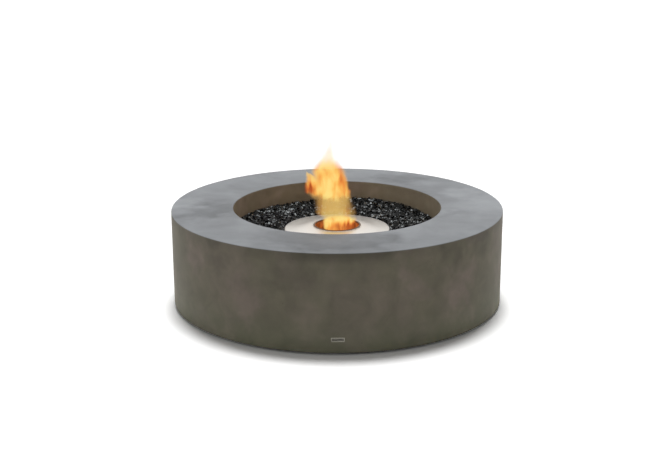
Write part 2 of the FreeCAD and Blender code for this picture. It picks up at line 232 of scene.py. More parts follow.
class StageSettings(bpy.types.PropertyGroup):
    """Camera, lamps and floor"""

    camera_distance: FloatProperty(
        name="Camera distance", description="Level distance from the table's axis to the camera",
        default=3.516, unit="LENGTH", precision=3)
    camera_height: FloatProperty(
        name="Camera height", description="Height of the camera over the floor",
        default=TOP + 0.924, unit="LENGTH", precision=3)
    camera_pitch: FloatProperty(
        name="Camera pitch", description="How far the camera looks down",
        default=math.radians(15.91), subtype="ANGLE")
    camera_roll: FloatProperty(
        name="Camera roll", description="How far the camera leans to its side",
        default=math.radians(0.11), subtype="ANGLE")
    camera_turn: FloatProperty(
        name="Camera turn", description="How far the camera looks to the left of the table's axis",
        default=math.radians(0.0475), subtype="ANGLE")
    focal_length: FloatProperty(
        name="Focal length", description="Focal length on a 36 mm wide sensor",
        default=64.17, subtype="DISTANCE_CAMERA", unit="CAMERA")


SETTINGS = {
    "fire_table_concrete": ConcreteSettings,
    "fire_table_glass": GlassSettings,
    "fire_table_burner": BurnerSettings,
    "fire_table_bare_plate": BarePlateSettings,
    "fire_table_flame": FlameSettings,
    "fire_table_stage": StageSettings,
}


# Shader expressions


class Value:
    """The output of a shader node. Sums, differences, products and quotients of values add Math nodes."""

    def __init__(self, nodes, socket):
        self.nodes = nodes
        self.socket = socket

    def maths(self, operation, *others):
        """A Math node on this value and any others."""
        inputs = dict(enumerate((self, *others)))
        return self.nodes.node("ShaderNodeMath", {"operation": operation}, inputs)

    def __add__(self, other):
        return self.maths("ADD", other)

    def __sub__(self, other):
        return self.maths("SUBTRACT", other)

    def __mul__(self, other):
        return self.maths("MULTIPLY", other)

    def __truediv__(self, other):
        return self.maths("DIVIDE", other)

    def __rsub__(self, other):
        return self.nodes.node("ShaderNodeMath", {"operation": "SUBTRACT"}, {0: other, 1: self})

    __radd__ = __add__
    __rmul__ = __mul__

    def rise(self, low, high):
        """0 up to low, 1 from high, and smooth between them."""
        return self.nodes.node(
            "ShaderNodeMapRange", {"interpolation_type": "SMOOTHSTEP"}, {"Value": self, 1: low, 2: high})

    def capped(self):
        """This value, and 1 where it is more."""
        return self.maths("MINIMUM", 1.0)


class Nodes:
    """The nodes of a material or of the world."""

    def __init__(self, tree):
        self.tree = tree

    def node(self, kind, settings=None, inputs=None, output=0):
        """Adds a node, with its settings first and then its sockets' values or links."""
        made = self.tree.nodes.new(kind)
        for key, choice in (settings or {}).items():
            if key == "stops":
                self.set_stops(made.color_ramp, choice)
            else:
                setattr(made, key, choice)
        for key, amount in (inputs or {}).items():
            socket = made.inputs[key]
            if isinstance(amount, Value):
                self.tree.links.new(amount.socket, socket)
            else:
                socket.default_value = amount
        return Value(self, made.outputs[output])

    @staticmethod
    def set_stops(ramp, stops):
        """Gives a ramp its stops, each a position and a colour."""
        while len(ramp.elements) < len(stops):
            ramp.elements.new(1.0)
        for element, (position, colour) in zip(ramp.elements, stops):
            element.position = position
            element.color = (*colour, 1.0)

    def vectors(self, operation, *operands, output=0):
        """A Vector Math node on vectors."""
        inputs = dict(enumerate(operands))
        return self.node("ShaderNodeVectorMath", {"operation": operation}, inputs, output)

    def mix(self, factor, first, second, blend="MIX"):
        """A blend of two colours. A Mix node takes them in its sockets 6 and 7."""
        first, second = (part if isinstance(part, Value) else (*part, 1.0) for part in (first, second))
        settings = {"data_type": "RGBA", "blend_type": blend}
        return self.node("ShaderNodeMix", settings, {0: factor, 6: first, 7: second}, output=2)

    def tinted(self, colour, brightness):
        """A colour made lighter or darker by a value round 1."""
        grey = self.node("ShaderNodeCombineColor", inputs={0: brightness, 1: brightness, 2: brightness})
        return self.mix(1.0, colour, grey, "MULTIPLY")

    def seen_by_eye(self):
        """1 for what the camera sees directly, in a reflection or through glass, and 0 for lighting."""
        rays = self.node("ShaderNodeLightPath", output="Is Camera Ray")
        for kind in ("Is Glossy Ray", "Is Transmission Ray"):
            rays = rays.maths("MAXIMUM", self.node("ShaderNodeLightPath", output=kind))
        return rays


class Finish(Nodes):
    """A material in the making: its nodes, its shader, and the object's own coordinates."""

    def __init__(self, name, **constants):
        self.material = bpy.data.materials.new(name)
        self.material.use_nodes = True
        super().__init__(self.material.node_tree)
        self.shader = self.tree.nodes["Principled BSDF"]
        for label, amount in constants.items():
            self.shader.inputs[label.replace("_", " ")].default_value = amount
        self.place = self.node("ShaderNodeTexCoord", output="Object")
        self.across, self.along, self.up = (
            self.node("ShaderNodeSeparateXYZ", inputs={0: self.place}, output=axis) for axis in range(3))

    def radius(self):
        """How far each point lies from the table's axis."""
        return (self.across * self.across + self.along * self.along).maths("SQRT")

    def stretched(self, scale):
        """The object's coordinates, scaled along each axis."""
        return self.vectors("MULTIPLY", self.place, scale)

    def noise(self, scale, detail=3.0, roughness=0.5, distortion=0.0, place=None):
        return self.node("ShaderNodeTexNoise", inputs={
            "Vector": place or self.place, "Scale": scale, "Detail": detail,
            "Roughness": roughness, "Distortion": distortion})

    def cells(self, scale, output="Distance"):
        """Irregular cells: the distance to a cell's middle, or a colour of its own."""
        return self.node("ShaderNodeTexVoronoi", None, {"Vector": self.place, "Scale": scale}, output)

    def blots(self, places):
        """How strongly blots show: 1 round each middle, 0 from its reach on, with edges that wander."""
        most = 0.16
        wander = self.node("ShaderNodeTexNoise", None, {"Vector": self.place, "Scale": 15.0}, "Color")
        shift = self.vectors("SUBTRACT", wander, (0.5, 0.5, 0.5))
        place = self.vectors("MULTIPLY_ADD", shift, (most, most, most), self.place)
        shown = 0.0
        for middle, reach in places:
            distance = self.vectors("DISTANCE", place, middle, output="Value")
            shown = shown + (1 - distance.rise(reach * 0.2, reach))
        return shown

    def bump(self, height, distance, strength):
        inputs = {"Height": height, "Distance": distance, "Strength": strength}
        return self.node("ShaderNodeBump", inputs=inputs)

    def set(self, **links):
        """Links values to the shader's own sockets."""
        for label, amount in links.items():
            self.tree.links.new(amount.socket, self.shader.inputs[label.replace("_", " ")])
        return self.material


# Finishes


def cast_concrete(settings):
    """Cast concrete: olive brown with soft pinkish clouds on its walls, and on its top a lighter, cooler
    grey, the same concrete with a painted sheen of the sky.
    """
    finish = Finish("cast_concrete", Specular_IOR_Level=0.28)
    clouds = finish.noise(3.4, detail=5.0, roughness=0.55, distortion=0.6)
    upright = finish.stretched((1.0, 1.0, 0.8))
    patches = finish.noise(8.0, detail=4.0, roughness=0.55, distortion=0.3, place=upright)
    mottle = finish.noise(17.0, detail=3.0, roughness=0.5, distortion=0.5)
    drifts = finish.noise(9.0, detail=6.0, roughness=0.62, distortion=0.3)
    sand = finish.noise(420.0, detail=2.0)
    freckles = finish.noise(90.0, detail=3.0, roughness=0.6)

    # The wall, pinker in its patches, greener towards its foot and painted lighter there against the
    # floor's shade, and with painted shade under its rim
    pink = (patches.rise(0.43, 0.63) * 0.5 + finish.blots(PINK_PATCHES) * 0.65).capped()
    wall = finish.mix(pink, settings.wall_colour, settings.patch_colour)
    wall = finish.tinted(wall, 0.96 + (mottle - 0.5) * 0.6)
    greener = finish.mix(1.0, wall, (0.88, 0.95, 0.90), "MULTIPLY")
    over_foot = finish.up - WALL_FOOT
    wall = finish.mix(1 - over_foot.rise(0.0, 0.13), wall, greener)
    foot = 1 - over_foot.rise(0.0, 0.10)
    rim = finish.up.rise(TOP - 0.040, TOP - 0.003) * (0.12 + finish.blots(RIM_SHADES).capped() * 0.34)
    wall = finish.tinted(wall, 1 + foot * 0.24 - rim - finish.blots(DULL_PATCHES) * 0.22)

    # The bowl's wall, made paler for the light of the flame on it, most of all at the back
    lift = finish.mix(finish.across.rise(-0.10, 0.20), (1.84, 1.67, 1.65), (1.82, 1.73, 1.78))
    inner = finish.tinted(finish.mix(1.0, wall, lift, "MULTIPLY"), 1 + finish.along * 0.5)
    wall = finish.mix(finish.radius().rise(0.40, 0.45), inner, wall)

    # The top: a painted cool sheen, darker in spots of painted shade and paler in spots of painted sheen
    spotting = (patches - 0.5) * 0.65 + (mottle - 0.5) * 0.2
    painted_top_shading = finish.blots(PAINTED_TOP_SHADE).capped() * 0.32 - finish.blots(PAINTED_TOP_SHEEN) * 0.22
    top = finish.tinted(settings.top_colour_and_sheen, 0.98 - painted_top_shading + spotting)
    body = finish.mix(finish.up.rise(TOP - 0.0028, TOP - 0.0004), wall, top)
    shade = 0.78 + clouds * 0.24 + drifts * 0.14 + freckles * 0.05 + sand * 0.04
    colour = finish.tinted(body, shade)

    # Small pinholes in the cast skin, in some places only
    pits = finish.cells(60.0).rise(0.05, 0.10)
    rare = finish.noise(14.0, detail=1.0).rise(0.60, 0.66)
    pinholes = 1 - (1 - pits) * rare
    colour = finish.tinted(colour, 0.66 + pinholes * 0.34)
    rough = 0.50 + clouds * 0.10 + freckles * 0.12
    relief = drifts * 0.35 + freckles * 0.10 + sand * 0.05 + pinholes * 0.25
    normal = finish.bump(relief, distance=0.0020, strength=0.5)
    return finish.set(Base_Color=colour, Roughness=rough, Normal=normal)


def black_glass(settings):
    """Broken black glass: near black and glossy, with a mirrored face on one lump in a few."""
    finish = Finish("black_fire_glass", Specular_IOR_Level=0.20)
    lumps = finish.node("ShaderNodeSeparateColor", inputs={0: finish.cells(105.0, output="Color")})
    mirrored = lumps.rise(0.74, 0.90)
    cloud = finish.noise(300.0, detail=2.0)
    tint = finish.mix(mirrored, settings.colour, settings.mirror_colour)
    colour = finish.tinted(tint, 0.55 + cloud * 0.9)
    ripples = finish.noise(190.0, detail=2.0, distortion=1.2)
    normal = finish.bump(ripples, distance=0.0010, strength=0.5)
    return finish.set(Base_Color=colour, Metallic=mirrored, Roughness=0.06 + cloud * 0.22, Normal=normal)


def turned_steel(name, colour, rough, heat=0.0):
    """Stainless steel with fine rings from turning, and a straw tint by the mouth as strong as the heat."""
    finish = Finish(name, Metallic=1.0)
    radius = finish.radius()
    rings_place = finish.node("ShaderNodeCombineXYZ", inputs={0: radius, 2: finish.up})
    rings = finish.noise(900.0, detail=2.0, place=rings_place)
    smears = finish.noise(16.0, detail=4.0, roughness=0.6)
    # The straw tint by the mouth is partly heat tint of the steel and partly painted warm light of the
    # flame
    tint = finish.mix((1 - radius.rise(0.066, 0.115)) * heat, colour, (0.86, 0.62, 0.42))
    body = finish.tinted(tint, 0.90 + smears * 0.16 + rings * 0.05)
    roughness = rough + smears * 0.12 + rings * 0.10
    normal = finish.bump(rings, distance=0.0004, strength=0.25)
    return finish.set(Base_Color=body, Roughness=roughness, Normal=normal)


def scorched_steel_with_painted_glow(name, steel, scorch, rim_colour, reach):
    """Stainless steel, browned at the rim, and darkened by the flame out to its reach, with a painted glow
    there.
    """
    finish = Finish(name, Metallic=0.8, Emission_Strength=1.0)
    within = 1 - finish.radius().rise(reach, reach + 0.0006)
    inside = (1 - finish.up.rise(COLLAR_HIGH.z - 0.003, COLLAR_HIGH.z)) * within
    upright = finish.stretched((1.0, 1.0, 0.5))
    streaks = finish.noise(70.0, detail=5.0, roughness=0.65, distortion=0.8, place=upright)
    # Painted light: inside, the steel glows orange in streaks for the flame's light on it
    glow = finish.mix(streaks.rise(0.40, 0.66), (0.040, 0.009, 0.002), (0.40, 0.105, 0.018))
    glow = finish.mix(inside, (0, 0, 0), glow)
    scorched = finish.tinted(finish.mix(streaks, scorch, (0.30, 0.14, 0.07)), 0.8 + streaks * 0.4)
    outside = finish.mix(finish.up.rise(COLLAR_HIGH.z - 0.012, COLLAR_HIGH.z), steel, rim_colour)
    body = finish.mix(inside, outside, scorched)
    return finish.set(Base_Color=body, Roughness=0.34 + streaks * 0.2, Emission_Color=glow)


def coated_sheet():
    """Black heat-resistant coating on sheet steel, with a fine orange-peel surface."""
    finish = Finish("black_coated_sheet", Specular_IOR_Level=0.4)
    peel = finish.noise(700.0, detail=2.0)
    dust = finish.noise(24.0, detail=5.0, roughness=0.65)
    colour = finish.mix(dust.rise(0.45, 0.8), (0.016, 0.016, 0.017), (0.045, 0.043, 0.040))
    normal = finish.bump(peel, distance=0.0003, strength=0.35)
    return finish.set(Base_Color=colour, Roughness=0.48 + dust * 0.22, Normal=normal)


def plated_steel():
    """Zinc-plated steel with a faint mottled passivation."""
    finish = Finish("plated_steel", Metallic=1.0)
    mottle = finish.noise(120.0, detail=4.0, roughness=0.6)
    colour = finish.mix(mottle, (0.42, 0.43, 0.44), (0.62, 0.61, 0.57))
    scratches = finish.noise(260.0, detail=2.0, place=finish.stretched((1.0, 1.0, 6.0)))
    normal = finish.bump(scratches, distance=0.0002, strength=0.3)
    return finish.set(Base_Color=colour, Roughness=0.30 + mottle * 0.2, Normal=normal)


def pressed_fibre():
    """Pale pressed fibre, flecked and soft."""
    finish = Finish("pressed_fibre", Sheen_Weight=0.3)
    flecks = finish.noise(900.0, detail=3.0, roughness=0.7)
    felt = finish.noise(210.0, detail=5.0, roughness=0.65)
    colour = finish.mix(flecks.rise(0.35, 0.7), (0.50, 0.48, 0.44), (0.74, 0.72, 0.67))
    normal = finish.bump(felt, distance=0.0010, strength=0.6)
    return finish.set(Base_Color=colour, Roughness=0.85 + felt * 0.1, Normal=normal)


def sole_rubber():
    """Black rubber with a dusty bloom."""
    finish = Finish("sole_rubber")
    bloom = finish.noise(55.0, detail=5.0, roughness=0.6)
    colour = finish.mix(bloom.rise(0.4, 0.8), (0.014, 0.014, 0.014), (0.050, 0.048, 0.045))
    normal = finish.bump(finish.noise(600.0), distance=0.0003, strength=0.4)
    return finish.set(Base_Color=colour, Roughness=0.68 + bloom * 0.2, Normal=normal)


def bronzed_plate(name, dark, light):
    """Bronzed metal with fine level brushing."""
    finish = Finish(name, Metallic=0.85)
    brushing = finish.noise(60.0, detail=4.0, roughness=0.6, place=finish.stretched((1.0, 1.0, 60.0)))
    colour = finish.mix(brushing, dark, light)
    normal = finish.bump(brushing, distance=0.0002, strength=0.3)
    return finish.set(Base_Color=colour, Roughness=0.40 + brushing * 0.15, Normal=normal)


def dress(piece, *materials):
    """Gives a piece its materials, in the order of its face groups, in place of any that it has."""
    if piece.data.materials:
        piece.data.materials.clear()
    for material in materials:
        piece.data.materials.append(material)


# Modelling


def select_only(*pieces):
    """Selects pieces and nothing else, with the first of them active."""
    bpy.ops.object.select_all(action="DESELECT")
    for piece in pieces:
        piece.select_set(True)
    bpy.context.view_layer.objects.active = pieces[0]


def begin(name, add, **settings):
    """Adds a primitive and opens it in edit mode, with nothing else selected."""
    bpy.ops.object.select_all(action="DESELECT")
    add(**settings)
    piece = bpy.context.object
    piece.name = name
    piece.data.name = name
    bpy.ops.object.mode_set(mode="EDIT")
    bpy.ops.mesh.select_mode(type="VERT")
    bpy.ops.mesh.select_all(action="SELECT")
    return piece


def pick(piece, wanted, kind="EDGE"):
    """Selects the edges or faces that pass a test, and nothing else."""
    bpy.ops.mesh.select_mode(type=kind)
    bpy.ops.mesh.select_all(action="DESELECT")
    mesh = bmesh.from_edit_mesh(piece.data)
    for part in (mesh.edges if kind == "EDGE" else mesh.faces):
        part.select_set(bool(wanted(part)))
    bmesh.update_edit_mesh(piece.data)


def finish_mesh(piece, smooth=True):
    """Merges doubles, turns the faces outwards and returns to object mode at the origin."""
    bpy.ops.mesh.select_all(action="SELECT")
    bpy.ops.mesh.remove_doubles(threshold=1e-6)
    bpy.ops.mesh.normals_make_consistent(inside=False)
    bpy.ops.object.mode_set(mode="OBJECT")
    bpy.ops.object.transform_apply(location=True, rotation=True, scale=True)
    if smooth:
        bpy.ops.object.shade_smooth_by_angle(angle=SMOOTH_BELOW)


def ring_at(radius, height):
    """A test for the edges of the ring at a radius and a height."""
    def test(edge):
        return all(abs(math.hypot(v.co.x, v.co.y) - radius) < NEAR and abs(v.co.z - height) < NEAR
                   for v in edge.verts)
    return test


def turned(name, outline, sides):
    """A ring turned about the table's axis. A circle is extruded from corner to corner of the outline,
    its ends are bridged, and each corner with a rounding is bevelled. A corner is (radius, height,
    rounding)."""
    radius, height, _ = outline[0]
    piece = begin(name, bpy.ops.mesh.primitive_circle_add, vertices=sides, radius=radius)
    bpy.ops.transform.translate(value=(0, 0, height))
    for next_radius, next_height, _ in outline[1:]:
        bpy.ops.mesh.extrude_region_move(TRANSFORM_OT_translate={"value": (0, 0, next_height - height)})
        share = next_radius / radius
        bpy.ops.transform.resize(value=(share, share, 1), center_override=(0, 0, 0))
        radius, height = next_radius, next_height
    pick(piece, lambda edge: edge.is_boundary)
    bpy.ops.mesh.bridge_edge_loops()
    for radius, height, rounding in outline:
        if rounding:
            pick(piece, ring_at(radius, height))
            bpy.ops.mesh.bevel(offset=rounding, segments=4, profile=0.5, affect="EDGES")
    finish_mesh(piece)
    return piece


def turn_by(piece, turn, lift=0.0):
    """Turns a piece's mesh about the table's axis, and lifts it."""
    select_only(piece)
    piece.location.z = lift
    piece.rotation_euler.z = turn
    bpy.ops.object.transform_apply(location=True, rotation=True, scale=False)


def copy_of(piece):
    """A copy with its own mesh."""
    copy = piece.copy()
    copy.data = piece.data.copy()
    bpy.context.collection.objects.link(copy)
    return copy


def join(pieces):
    """Joins pieces into the first of them."""
    select_only(*pieces)
    bpy.ops.object.join()
    return pieces[0]


def combine(piece, tool, operation):
    """Applies a Boolean of a tool to a piece, and deletes the tool."""
    select_only(piece)
    modifier = piece.modifiers.new(operation.lower(), "BOOLEAN")
    modifier.operation = operation
    modifier.solver = "EXACT"
    modifier.object = tool
    bpy.ops.object.modifier_apply(modifier=modifier.name)
    bpy.data.objects.remove(tool)


# Pieces


# Roundings of the casting's inner corners, in metres: in the bowl, under the ledge, and under the top by
# the bowl and by the outer wall
BOWL_CORNER, LEDGE_CORNER, INNER_CORNER, OUTER_CORNER = 0.008, 0.010, 0.012, 0.014


def foot_pillar(settings, foot_radius):
    """One tapered pillar along X under the top, which carries a levelling foot."""
    overlap = 0.004
    top, bottom = TOP - settings.wall + overlap, 0.028
    depth, width, middle = 0.092, 0.062, 0.438
    depth_growth, width_growth, lean, corner_round = 1.17, 1.48, -0.010, 0.010
    insert_radius, hole_height, hole_middle = 0.011, 0.08, 0.032
    pillar = begin("foot_pillar", bpy.ops.mesh.primitive_cube_add, size=1.0)
    bpy.ops.transform.resize(value=(depth, width, top - bottom), center_override=(0, 0, 0))
    bpy.ops.transform.translate(value=(middle, 0, (top + bottom) / 2))
    pick(pillar, lambda face: face.calc_center_median().z > top - NEAR, "FACE")
    bpy.ops.transform.resize(value=(depth_growth, width_growth, 1), center_override=(middle, 0, top))
    bpy.ops.transform.translate(value=(lean, 0, 0))
    pick(pillar, lambda edge: abs(edge.verts[0].co.z - edge.verts[1].co.z) > NEAR)
    bpy.ops.mesh.bevel(offset=corner_round, segments=5, affect="EDGES")
    finish_mesh(pillar)
    hole = begin("insert_hole", bpy.ops.mesh.primitive_cylinder_add, vertices=48, radius=insert_radius,
                 depth=hole_height, location=(foot_radius, 0, hole_middle))
    finish_mesh(hole)
    combine(pillar, hole, "DIFFERENCE")
    return pillar


class FIRETABLE_OT_concrete_body(bpy.types.Operator):
    """Builds the cast concrete body with its pillars"""

    bl_idname = "fire_table.concrete_body"
    bl_label = "Concrete Body"

    def execute(self, context):
        size = context.scene.fire_table_concrete
        ledge = TOP - size.ledge_depth
        bowl_outside = size.bowl_radius + size.bowl_wall
        underside = TOP - size.wall
        body = turned("concrete_body", [
            (size.outer_radius, WALL_FOOT, size.edge_round),
            (size.outer_radius, TOP, size.edge_round),
            (size.bowl_radius, TOP, size.edge_round),
            (size.bowl_radius, ledge, BOWL_CORNER),
            (size.ledge_hole, ledge, size.edge_round),
            (size.ledge_hole, ledge - size.bowl_wall, size.edge_round),
            (bowl_outside, ledge - size.bowl_wall, LEDGE_CORNER),
            (bowl_outside + size.draft, underside, INNER_CORNER),
            (size.outer_radius - size.wall - size.draft, underside, OUTER_CORNER),
            (size.outer_radius - size.wall, WALL_FOOT, size.edge_round),
        ], sides=288)
        foot = (FOOT_LOW + FOOT_HIGH) / 2
        pillar = foot_pillar(size, math.hypot(foot.x, foot.y))
        pillars = [copy_of(pillar) for _ in range(4)]
        for quarter, copy in enumerate(pillars):
            turn_by(copy, math.atan2(foot.y, foot.x) + quarter * math.pi / 2)
        bpy.data.objects.remove(pillar)
        combine(body, join(pillars), "UNION")
        bpy.ops.object.shade_smooth_by_angle(angle=SMOOTH_BELOW)
        dress(body, cast_concrete(size))
        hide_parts("concrete_shell")
        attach(body, "table")
        return {"FINISHED"}


class FIRETABLE_OT_bare_plate(bpy.types.Operator):
    """Builds the small bare plate low on the front"""

    bl_idname = "fire_table.bare_plate"
    bl_label = "Bare Plate"

    def execute(self, context):
        size = context.scene.fire_table_bare_plate
        radius = context.scene.fire_table_concrete.outer_radius
        thickness, corner_round, border, field_depth = 0.0012, 0.0008, 0.0018, 0.0005
        plate = begin("bare_plate", bpy.ops.mesh.primitive_cube_add, size=1.0)
        bpy.ops.transform.resize(value=(size.width, thickness, size.height), center_override=(0, 0, 0))
        bpy.ops.transform.translate(value=(0, -radius - thickness / 2, size.centre_height))
        pick(plate, lambda edge: abs(edge.verts[0].co.y - edge.verts[1].co.y) > thickness / 2)
        bpy.ops.mesh.bevel(offset=corner_round, segments=3, affect="EDGES")
        pick(plate, lambda face: face.normal.y < -0.9, "FACE")
        bpy.ops.mesh.inset(thickness=border)
        bpy.ops.mesh.extrude_region_move(TRANSFORM_OT_translate={"value": (0, field_depth, 0)})
        mesh = bmesh.from_edit_mesh(plate.data)
        for face in mesh.faces:
            face.material_index = int(face.select)
        bmesh.update_edit_mesh(plate.data)
        finish_mesh(plate)
        turn_by(plate, size.offset / radius)
        dress(plate,
              bronzed_plate("bare_plate_border", (0.23, 0.22, 0.185), (0.35, 0.335, 0.28)),
              bronzed_plate("bare_plate_field", (0.070, 0.066, 0.056), (0.14, 0.132, 0.112)))
        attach(plate, "table")
        return {"FINISHED"}


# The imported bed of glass: the depth of its crest below the top in metres, the crest's place as a share of
# the way across the bed, and how steeply the bed falls off it
CREST_DEPTH, CREST_PLACE, CREST_FALL = 0.070, 0.55, 0.010

# Height in metres, and direction from the table's axis in degrees, of the mounds by the bowl's wall
MOUNDS = ((0.014, 66), (0.006, 152))

# How deep each layer of lumps lies, in metres, and its spacing as a share of the upper layer's
LAYERS = ((0.0, 1.0), (0.0055, 1.3))

# How many shapes the lumps have, how many corners are struck off each, and how unevenly in metres they lie
SHAPES, STRUCK_CORNERS, UNEVEN = 10, 5, 0.0028


def broken_lump(name, draw):
    """One broken lump of glass, about 1 across: a flattened block with its corners struck off."""
    lump = begin(name, bpy.ops.mesh.primitive_cube_add, size=1.0)
    bpy.ops.transform.resize(value=(1.0, draw.uniform(0.68, 0.9), draw.uniform(0.5, 0.75)))
    for _ in range(STRUCK_CORNERS):
        towards = Vector([draw.choice((-1, 1)) * draw.uniform(0.35, 1.0) for _ in range(3)]).normalized()
        bpy.ops.mesh.select_all(action="SELECT")
        bpy.ops.mesh.bisect(
            plane_co=towards * draw.uniform(0.34, 0.46), plane_no=towards, use_fill=True, clear_outer=True)
    finish_mesh(lump, smooth=False)
    return lump


def glass_height(settings, radius, angle):
    """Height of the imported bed's surface: lowest by the burner, with mounds by the wall at the back."""
    across = (radius - settings.inner_radius) / (settings.outer_radius - settings.inner_radius)
    mounds = sum(height * across * max(0.0, math.cos(angle - math.radians(towards))) ** 4
                 for height, towards in MOUNDS)
    return TOP - CREST_DEPTH - CREST_FALL * (across - CREST_PLACE) ** 2 + mounds


def lump_places(settings, spacing, draw):
    """Where the lumps of one layer lie: rings round the burner, scattered about their even places."""
    scatter = 0.35
    middle = settings.lump / 2
    inner, outer = settings.inner_radius + middle, settings.outer_radius - middle
    rings = round((outer - inner) / spacing)
    for ring in range(rings + 1):
        even_radius = inner + (outer - inner) * ring / rings
        count = round(2 * math.pi * even_radius / spacing)
        start = draw.uniform(0, math.pi)
        for i in range(count):
            angle = start + 2 * math.pi * (i + draw.uniform(-scatter, scatter)) / count
            yield even_radius + draw.uniform(-scatter, scatter) * spacing, angle


class FIRETABLE_OT_crushed_glass(bpy.types.Operator):
    """Fills the tray with broken lumps of glass"""

    bl_idname = "fire_table.crushed_glass"
    bl_label = "Crushed Glass"

    def execute(self, context):
        settings = context.scene.fire_table_glass
        draw = random.Random(settings.seed)
        shapes = [broken_lump(f"lump_{i}", draw) for i in range(SHAPES)]
        bed = []
        for sunk, share in LAYERS:
            for radius, angle in lump_places(settings, settings.spacing * share, draw):
                lump = copy_of(draw.choice(shapes))
                lump.rotation_euler = [draw.uniform(0, 2 * math.pi) for _ in range(3)]
                lump.scale = [settings.lump * draw.uniform(0.75, 1.3)] * 3
                self.set_down(lump, settings, radius, angle, draw.uniform(-UNEVEN, UNEVEN) - sunk)
                bed.append(lump)
        for shape in shapes:
            bpy.data.objects.remove(shape)
        select_only(*bed)
        bpy.ops.object.transform_apply(location=True, rotation=True, scale=True)
        glass = join(bed)
        glass.name = "crushed_glass"
        finish = black_glass(settings)
        dress(glass, finish)
        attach(glass, "tray")
        dress(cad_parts["glass_bed"], finish)
        return {"FINISHED"}

    def set_down(self, lump, settings, radius, angle, lift):
        """Sets a lump down at its place, moved in or out so that no corner passes the bed's edges."""
        outward = Vector((math.cos(angle), math.sin(angle), 0))
        turn = lump.rotation_euler.to_matrix() * lump.scale.x
        reach = max((turn @ corner.co).length for corner in lump.data.vertices)
        radius = min(max(radius, settings.inner_radius + reach), settings.outer_radius - reach)
        lump.location = outward * radius + Vector((0, 0, glass_height(settings, radius, angle) + lift))


# The gap between the ring and the collar, in metres
COLLAR_GAP = 0.002


def crowned_plate(settings):
    """The burner's plate: a turned-down edge, a flat rim and a crown that rises to the mouth."""
    sheet, crown_height, crown_foot = 0.002, 0.008, 0.128
    edge, skin = PLATE_HIGH.x, settings.skin
    hole = settings.mouth_radius + COLLAR_GAP + skin
    rim_top = PLATE_HIGH.z - crown_height
    crown = [(0.0, 0.0), (0.2, 0.30), (0.4, 0.55), (0.6, 0.76), (0.8, 0.91), (1.0, 1.0)]
    upper = [(crown_foot + (hole - crown_foot) * out, rim_top + crown_height * up, 0) for out, up in crown]
    lower = [(radius, height - sheet, 0) for radius, height, _ in reversed(upper)]
    plate = turned("burner_plate", [
        (edge - skin, PLATE_LOW.z, 0),
        (edge, PLATE_LOW.z, 0),
        (edge, rim_top, 0.0018),
        *upper,
        *lower,
        (edge - skin, rim_top - sheet, 0.0006),
    ], sides=224)
    dress(plate, turned_steel("satin_steel", settings.steel_colour, rough=0.24, heat=0.12))
    return plate


def mouth_collar(settings):
    """The collar in the plate's hole, with a rounded lip that laps over the plate."""
    lap = 0.0035
    inside = settings.mouth_radius + COLLAR_GAP
    outside = inside + settings.skin
    lip = COLLAR_HIGH.z - settings.skin
    collar = turned("mouth_collar", [
        (inside, COLLAR_LOW.z, 0),
        (outside, COLLAR_LOW.z, 0),
        (outside, lip, 0),
        (outside + lap, lip, 0),
        (outside + lap, COLLAR_HIGH.z, 0.0008),
        (inside, COLLAR_HIGH.z, 0.0004),
    ], sides=160)
    dress(collar, turned_steel("collar_steel", settings.steel_colour, rough=0.30, heat=0.2))
    return collar


def flame_ring(settings):
    """The lift-out ring: a flange on the collar's lip, and two rows of holes in its wall."""
    flange, edge_round = 0.004, 0.0008
    count, hole_radius, drill_length, row_heights = 20, 0.003, 0.012, (0.007, 0.016)
    inside, outside = settings.mouth_radius, settings.mouth_radius + settings.skin
    ring = turned("flame_ring", [
        (inside, RING_LOW.z, 0),
        (outside, RING_LOW.z, 0),
        (outside, COLLAR_HIGH.z, 0),
        (outside + flange, COLLAR_HIGH.z, 0),
        (outside + flange, RING_HIGH.z, edge_round),
        (inside, RING_HIGH.z, edge_round),
    ], sides=160)
    drill = begin("drill", bpy.ops.mesh.primitive_cylinder_add, vertices=20, radius=hole_radius,
                  depth=drill_length, location=(inside, 0, RING_LOW.z), rotation=(0, math.pi / 2, 0))
    finish_mesh(drill)
    holes = []
    for row, height in enumerate(row_heights):
        for i in range(count):
            hole = copy_of(drill)
            turn_by(hole, 2 * math.pi * (i + row / 2) / count, lift=height)
            holes.append(hole)
    bpy.data.objects.remove(drill)
    combine(ring, join(holes), "DIFFERENCE")
    bpy.ops.object.shade_smooth_by_angle(angle=SMOOTH_BELOW)
    dress(ring, scorched_steel_with_painted_glow(
        "steel_with_painted_flame_glow", settings.steel_colour, scorch=(0.36, 0.20, 0.11), rim_colour=settings.rim_colour,
        reach=inside + 0.0004))
    return ring


class FIRETABLE_OT_burner(bpy.types.Operator):
    """Builds the burner's crowned plate, its mouth collar and the lift-out ring"""

    bl_idname = "fire_table.burner"
    bl_label = "Burner"

    def execute(self, context):
        settings = context.scene.fire_table_burner
        for make, node, body in (
            (crowned_plate, "burner_top_plate", "burner"),
            (mouth_collar, "burner_mouth_collar", "burner"),
            (flame_ring, "efficiency_ring", "ring"),
        ):
            piece = make(settings)
            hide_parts(node)
            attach(piece, body)
        return {"FINISHED"}


